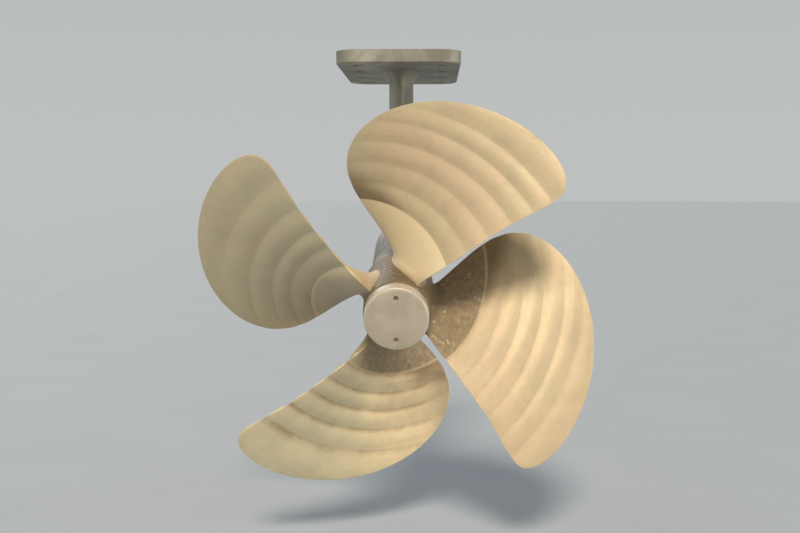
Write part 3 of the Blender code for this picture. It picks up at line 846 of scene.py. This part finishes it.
class PROPELLER_OT_bearing(Operator):
    """Makes the brass shell and its grooved rubber lining"""

    bl_idname = "propeller.bearing"
    bl_label = "Water Bearing"

    def execute(self, context):
        size, shades = context.scene.bracket_sizes, context.scene.finishes
        bore, rubber, shell_bore, shell, _ = bearing_radii(size)
        half = size.barrel_length / 2 + size.shell_overhang
        profile = [
            (shell_bore, 0.0),
            (shell_bore, half),
            (shell, half),
            (shell, -half),
            (shell_bore, -half),
            (shell_bore, CHAMFER - half),
        ]
        profile = rounded(profile, [0, EDGE / 2, EDGE, EDGE, EDGE / 2, 0], 3)
        shell = turned("turned_bearing_shell", profile, on_shaft())
        dress(shell, "bracket", "bearing_brass", brass(shades), "bearing_shell")

        turns = full_turn(RUBBER_STEPS)
        pitch = 2 * np.pi / max(1, size.grooves)
        from_groove = np.abs((turns % pitch) - pitch / 2) * bore
        deep = size.groove_radius**2 - from_groove**2
        inner = bore + np.sqrt(np.maximum(0.0, deep)) * (size.grooves > 0)
        rings = [
            ring_at(radii * np.cos(turns), radii * np.sin(turns), height)
            for radii, height in ((inner, half), (rubber, half), (rubber, -half), (inner, -half))
        ]
        faces = [face[::-1] for face in grid_faces(4, RUBBER_STEPS, wrap_rows=True)]
        mesh = mesh_from("lining", rings, faces)
        lining = new_object("grooved_rubber_lining", mesh, on_shaft())
        dress(lining, "bracket", "bearing_rubber", rubber_black(shades), "bearing_rubber")
        return {"FINISHED"}


def brass(shades):
    """Tarnished brass with the marks of turning."""
    made = Surface("turned_brass", shades.brass, 0.34, 1.0)
    lines = made.place.stretched(0.05, 0.05, 1.0).noise(0.0007, 2.0)
    tarnish = made.place.noise(0.012, 4.0)
    shade = tarnish.ramp(0.45, 0.7).mix(shades.brass, tinted(shades.brass, 0.55))
    return made.finish(shade, tarnish * 0.25 + 0.25, made.bump(lines, 0.00006))


def rubber_black(shades):
    """Black rubber, chalky in patches."""
    made = Surface("nitrile_rubber", shades.rubber, 0.62)
    chalk = made.place.noise(0.02)
    shade = (chalk.ramp(0.45, 0.75) * 0.5).mix(shades.rubber, tinted(shades.rubber, 2.6))
    grain = made.place.noise(0.0012)
    return made.finish(shade, chalk * 0.2 + 0.52, made.bump(grain, 0.0001))


def bevel(shape, edges, size, segments):
    bmesh.ops.bevel(
        shape, geom=edges, offset=size, segments=segments, profile=0.5, affect="EDGES"
    )


class PROPELLER_OT_bracket(Operator):
    """Makes the bracket's palm, leg and barrel"""

    bl_idname = "propeller.bracket"
    bl_label = "Shaft Bracket"

    def execute(self, context):
        size = context.scene.bracket_sizes
        paint = bracket_paint(context.scene.finishes)
        self.make_palm(size, paint)
        self.make_leg(size, paint)
        self.make_barrel(size, paint)
        return {"FINISHED"}

    def make_palm(self, size, paint):
        shape = bmesh.new()
        scale = Matrix.Diagonal((size.palm_width, size.palm_length, size.palm_thickness, 1))
        bmesh.ops.create_cube(shape, size=1.0, matrix=scale)
        upright = [e for e in shape.edges if e.verts[0].co.z * e.verts[1].co.z < 0]
        bevel(shape, upright, size.palm_corner, 20)
        rim = [e for e in shape.edges if max(v.co.z for v in e.verts) < 0]
        bevel(shape, rim, size.palm_edge, 4)
        mesh = bpy.data.meshes.new("palm")
        shape.to_mesh(mesh)
        shape.free()
        mesh.transform(Matrix.Translation((0, 0, -size.palm_thickness / 2)))
        mesh.uv_layers.new(name="rings")
        palm = new_object("cast_bracket_palm", mesh)
        under = -size.palm_thickness
        radius, head = size.bolt_radius + FIT, size.head_radius + FIT
        hole = [
            (0.0, OVERSHOOT),
            (radius, OVERSHOOT),
            (radius, under + size.head_depth),
            (head, under + FIT),
            (head + FIT + OVERSHOOT, under - OVERSHOOT),
            (0.0, under - OVERSHOOT),
        ]
        for bolt in BOLTS:
            cut(palm, f"hole_{bolt}", hole, bolt_place(bolt))
        dress(palm, "bracket", "bracket_paint", paint, "bracket_palm")

    def leg_outline(self, size, spread):
        """The leg's streamlined section, wider all round by the spread."""
        turns = full_turn(LEG_STEPS)
        along, across = np.cos(turns), np.sin(turns)
        fullness = 1 - size.leg_fineness * (1 - along) / 2 * np.abs(across)
        x = -across * fullness * (size.leg_thickness / 2 + spread)
        return x, along * (size.leg_chord / 2 + spread)

    def make_leg(self, size, paint):
        rings = []

        def barrel_top(x, y):
            round_part = np.sqrt(size.barrel_radius**2 - x**2) / math.cos(SLOPE)
            return SHAFT_MIDDLE.z + y * math.tan(SLOPE) + round_part

        fillet = size.foot_fillet
        for climb in (-LEG_ROOT, *np.linspace(0, 1, 10)):
            part = 1 - min(1.0, max(0.0, climb))
            x, y = self.leg_outline(size, fillet * (1 - math.sqrt(1 - part**2)))
            rings.append(ring_at(x, y, barrel_top(x, y) + fillet * climb))
        x, y = self.leg_outline(size, 0.0)
        foot = barrel_top(x, y) + fillet
        head = -size.palm_thickness - size.flare_height
        for share in np.linspace(0, 1, 12)[1:]:
            rings.append(ring_at(x, y, foot + (head - foot) * share))
        for s, c in quarter(12)[1:]:
            x, y = self.leg_outline(size, size.leg_flare * (1 - c))
            rings.append(ring_at(x, y, head + (size.flare_height + EMBED) * s))
        leg = new_object("cast_bracket_leg", loft_mesh("leg", rings))
        dress(leg, "bracket", "bracket_paint", paint, "bracket_leg")

    def make_barrel(self, size, paint):
        bore = bearing_radii(size)[4]
        half = size.barrel_length / 2
        rise = size.barrel_radius - size.barrel_end
        taper = [
            (size.barrel_end + rise * s, half - size.barrel_taper * (1 - c)) for s, c in quarter(9)
        ]
        profile = [(bore, 0.0), (bore, half - CHAMFER), (bore + CHAMFER, half), *taper]
        profile += [(radius, -height) for radius, height in reversed(taper)]
        profile += [(bore + CHAMFER, -half), (bore, CHAMFER - half)]
        barrel = turned("cast_bracket_barrel", profile, on_shaft())
        radius, rim = size.screw_radius, size.barrel_radius - CHAMFER
        top = size.barrel_radius + 2.25 * OVERSHOOT
        hole = [
            (0.0, top),
            (radius + top - rim, top),
            (radius + FIT, rim),
            (radius + FIT, bore - DRILL_POINT),
            (0.0, bore - DRILL_POINT),
        ]
        for screw in SCREWS:
            cut(barrel, f"screw_hole_{screw}", hole, screw_place(size, screw))
        dress(barrel, "bracket", "bracket_paint", paint, "bracket_barrel")


def bracket_paint(shades):
    """Grey-green primer brushed on by hand, rubbed pale in patches, with painted light and shade.
    """
    made = Surface("bracket_primer", shades.paint, 0.55)
    dark = tinted(shades.paint, 0.4)
    patch = made.place.noise(0.06, 4.0, 0.55, 0.5)
    strokes = made.place.stretched(1.0, 1.0, 0.12).noise(0.004, 4.0)
    x, _, z = made.place.parts()
    shade = patch.ramp(0.42, 0.66).mix(shades.paint, shades.paint_pale)
    shade = (strokes.ramp(0.52, 0.75) * 0.3).mix(shade, dark)

    # Painted light on the leg to port; painted shade on it to starboard, softer on the rest
    leg = z.ramp(-0.03, -0.07) * z.ramp(-0.43, -0.38)
    lit_port = x.ramp(0.0, -0.01) * leg
    starboard = x.ramp(-0.004, 0.01) * leg
    starboard += (x + patch * 0.1).ramp(-0.02, 0.14) * (1 - leg) * 0.3
    shade = (lit_port * 0.8).mix(shade, shades.paint_pale)
    shade = (starboard * (patch * 0.3 + 0.65)).mix(shade, dark)
    fine = made.bump(made.place.noise(0.0014, 2.0, 0.5), 0.00018)
    return made.finish(shade, strokes * 0.25 + 0.42, made.bump(strokes, 0.0005, fine))


def primed_steel(shades):
    """Stainless steel under the bracket's primer, rubbed bare in spots."""
    made = Surface("primed_steel", shades.paint, 0.55)
    rubbed = made.place.noise(0.004)
    bare = rubbed.ramp(0.56, 0.62)
    primer = made.place.noise(0.02).ramp(0.4, 0.7).mix(tinted(shades.paint, 0.6), shades.paint)
    made.set("Metallic", bare)
    shade = bare.mix(primer, shades.steel)
    return made.finish(shade, rubbed * 0.2 + 0.5, made.bump(rubbed, 0.0004))


class PROPELLER_OT_fasteners(Operator):
    """Makes the palm's bolts and the bearing's set screws"""

    bl_idname = "propeller.fasteners"
    bl_label = "Bolts and Screws"

    def execute(self, context):
        size, shades = context.scene.bracket_sizes, context.scene.finishes
        self.make_bolts(size, primed_steel(shades))
        self.make_screws(size, steel(shades, "fastener_steel", 0.5))
        return {"FINISHED"}

    def make_bolts(self, size, primed):
        head = 2 * FIT - size.palm_thickness
        radius = size.head_radius - FIT
        low = head - OVERSHOOT
        profile = [
            (0.0, -FIT),
            (size.bolt_radius, -FIT),
            (size.bolt_radius, size.head_depth + FIT - size.palm_thickness),
            (radius, head + EDGE),
            (radius - EDGE / 4, head + EDGE * 3 / 8),
            (radius - EDGE * 3 / 4, head),
            (0.0, head),
        ]
        for bolt in BOLTS:
            piece = turned(f"countersunk_bolt_{bolt}", profile, bolt_place(bolt), SMALL_STEPS)
            turn = math.radians(BOLT_TURN * bolt)
            self.cut_socket(piece, size.socket_width, low, head + size.socket_depth, turn)
            dress(piece, "bracket", "stainless_steel", primed, f"palm_bolt_{bolt}")

    def make_screws(self, size, bare):
        start = bearing_radii(size)[3] + 2 * FIT
        end = size.barrel_radius - size.screw_recess
        middle = (start + end) / 2
        radius = size.screw_radius
        inner = radius - size.screw_edge
        profile = [(0.0, end), (inner, end), (radius, end - size.screw_edge), (radius, start)]
        profile.append((0.0, start))
        for screw in SCREWS:
            place = screw_place(size, screw)
            piece = turned(f"socket_set_screw_{screw}", profile, place, SMALL_STEPS)
            width, turn = radius * size.screw_socket, SCREW_TURN * screw
            self.cut_socket(piece, width, middle, end + OVERSHOOT, turn)
            dress(piece, "bracket", "stainless_steel", bare, f"bearing_set_screw_{screw}")

    def cut_socket(self, obj, width, low, high, turn):
        corner = width / math.sqrt(3)
        profile = [(0.0, high), (corner, high), (corner, low), (0.0, low)]
        cut(obj, "socket", profile, obj.matrix_world, 6, turn)


# Studio

FLOOR_RADIUS = 60.0
FLOOR_GAP = 0.12  # from the lowest tip down to the floor
CAMERA_PLACE = (0.0630, -2.4104, -0.2548)
CAMERA_AIM = (0.004, -0.2293, -0.400)
CAMERA_LENS = 53.0  # millimetres, on a sensor that is 36 wide
LAMP_DISTANCE = 3.0
# Name, direction, spread in degrees, strength, and a colour other than the key light's
LIGHTS = (
    ("key_light", (0.0, -0.777, 0.629), 14.0, 2.9, None),
    ("front_light", (-0.498, -0.863, 0.087), 25.0, 0.4, None),
    ("side_light", (0.996, 0.0, 0.087), 20.0, 1.6, None),
    ("back_light", (-0.30, 0.80, 0.45), 30.0, 0.5, (1.0, 1.0, 1.0)),
)


def turned_to(direction):
    """Turns a lamp or the camera so that it looks this way."""
    return Vector(direction).to_track_quat("-Z", "Y").to_euler()


class PROPELLER_OT_stage(Operator):
    """Makes the floor, the lights and the camera"""

    bl_idname = "propeller.stage"
    bl_label = "Studio"

    def execute(self, context):
        shades = context.scene.finishes
        self.make_floor(shades)
        context.scene.world = self.make_world(shades)
        self.make_lights(shades)
        context.scene.camera = self.make_camera()
        context.scene.view_settings.view_transform = "Standard"
        return {"FINISHED"}

    def make_floor(self, shades):
        low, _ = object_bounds()
        mesh = bpy.data.meshes.new("floor")
        shape = bmesh.new()
        bmesh.ops.create_circle(shape, cap_ends=True, segments=96, radius=FLOOR_RADIUS)
        shape.to_mesh(mesh)
        shape.free()
        floor = new_object("studio_floor", mesh)
        floor.location.z = low.z - FLOOR_GAP
        made = Surface("studio_floor", shades.floor, 0.75)
        patch = made.place.noise(0.35, 5.0).ramp(0.35, 0.7)
        made.set("Base Color", patch.mix(shades.floor, tinted(shades.floor, 0.965)))
        mesh.materials.append(made.material)
        floor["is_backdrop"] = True

    def make_world(self, shades):
        world = bpy.data.worlds.new("studio_light")
        world.use_nodes = True
        tree = world.node_tree
        height = Term(tree).node("TexCoord", output="Generated").parts()[2]
        shade = height.ramp(0.02, 0.75).mix(shades.horizon, shades.overhead)
        tree.links.new(shade.socket, tree.nodes["Background"].inputs["Color"])
        return world

    def make_lights(self, shades):
        for name, towards, spread, strength, tint in LIGHTS:
            light = bpy.data.lights.new(name, "SUN")
            light.angle = math.radians(spread)
            light.energy = strength
            light.color = tint or shades.sunlight
            lamp = new_object(name, light)
            lamp.location = Vector(towards) * LAMP_DISTANCE
            lamp.rotation_euler = turned_to(-Vector(towards))

    def make_camera(self):
        lens = bpy.data.cameras.new("camera")
        lens.sensor_width = 36.0
        lens.lens = CAMERA_LENS
        lens.clip_start, lens.clip_end = 0.05, 200.0
        camera = new_object("camera", lens)
        camera.location = CAMERA_PLACE
        camera.rotation_euler = turned_to(Vector(CAMERA_AIM) - Vector(CAMERA_PLACE))
        return camera


class PROPELLER_PT_panel(Panel):
    """Lists what makes the propeller, piece by piece"""

    bl_idname = "PROPELLER_PT_panel"
    bl_label = "Ship Propeller"
    bl_space_type = "VIEW_3D"
    bl_region_type = "UI"
    bl_category = "Propeller"

    def draw(self, context):
        for operator in OPERATORS:
            self.layout.operator(operator.bl_idname)
        for name in GROUPS:
            group = getattr(context.scene, name)
            box = self.layout.box()
            for prop in group.__annotations__:
                box.prop(group, prop)


OPERATORS = (
    PROPELLER_OT_casting,
    PROPELLER_OT_cap,
    PROPELLER_OT_shaft,
    PROPELLER_OT_bearing,
    PROPELLER_OT_bracket,
    PROPELLER_OT_fasteners,
    PROPELLER_OT_stage,
)
GROUPS = {"propeller_sizes": PropellerSizes, "bracket_sizes": BracketSizes, "finishes": Finishes}


def register():
    for name, group in GROUPS.items():
        bpy.utils.register_class(group)
        setattr(bpy.types.Scene, name, PointerProperty(type=group))
    for made in (*OPERATORS, PROPELLER_PT_panel):
        bpy.utils.register_class(made)


def unregister():
    for made in (PROPELLER_PT_panel, *OPERATORS):
        bpy.utils.unregister_class(made)
    for name, group in GROUPS.items():
        delattr(bpy.types.Scene, name)
        bpy.utils.unregister_class(group)


def main():
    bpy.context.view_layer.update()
    register()
    bpy.ops.propeller.casting()
    bpy.ops.propeller.cap()
    bpy.ops.propeller.shaft()
    bpy.ops.propeller.bearing()
    bpy.ops.propeller.bracket()
    bpy.ops.propeller.fasteners()
    bpy.ops.propeller.stage()
    bpy.context.view_layer.update()


if __name__ == "__main__":
    main()
